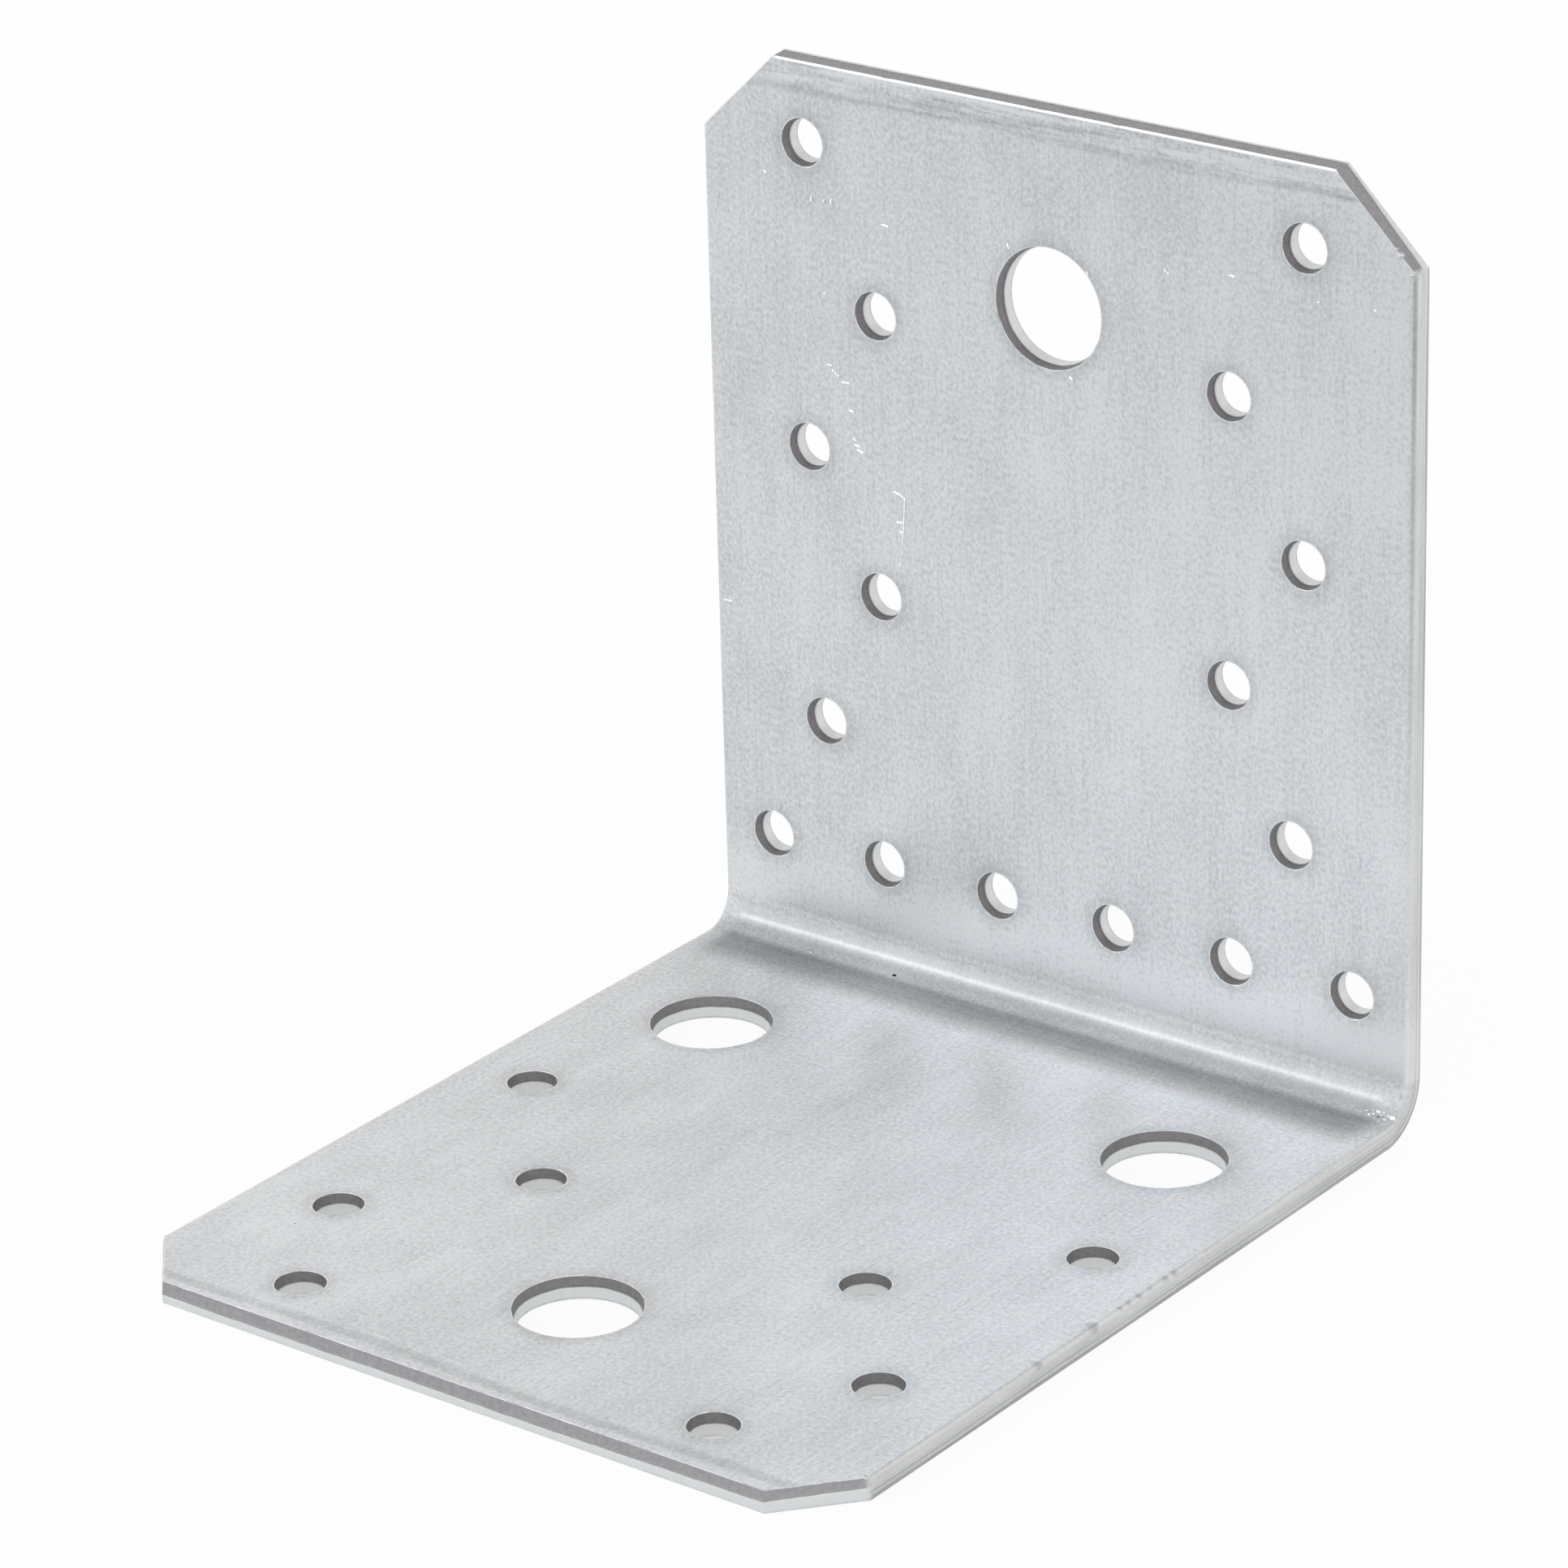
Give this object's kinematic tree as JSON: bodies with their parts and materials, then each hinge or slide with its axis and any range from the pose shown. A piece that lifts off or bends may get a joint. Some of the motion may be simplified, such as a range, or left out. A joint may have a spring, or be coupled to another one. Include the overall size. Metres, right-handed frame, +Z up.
{
  "type": "angle bracket",
  "caption": "Folded sheet-steel angle bracket with two equal flanges at a right angle, cut corners, nail holes and larger bolt holes.",
  "frame": {"origin": "middle of the footprint, on the lying flange's outer face", "axes": "+X along the fold, +Y from the lying flange's free edge towards the upright flange's back, +Z up"},
  "size_m": [0.09, 0.105, 0.105],
  "materials": {
    "galvanised_sheet": "zinc-coated sheet, fine satin grain, bare"
  },
  "bodies": {
    "root": {"bracket": "galvanised_sheet"}
  },
  "joints": []
}
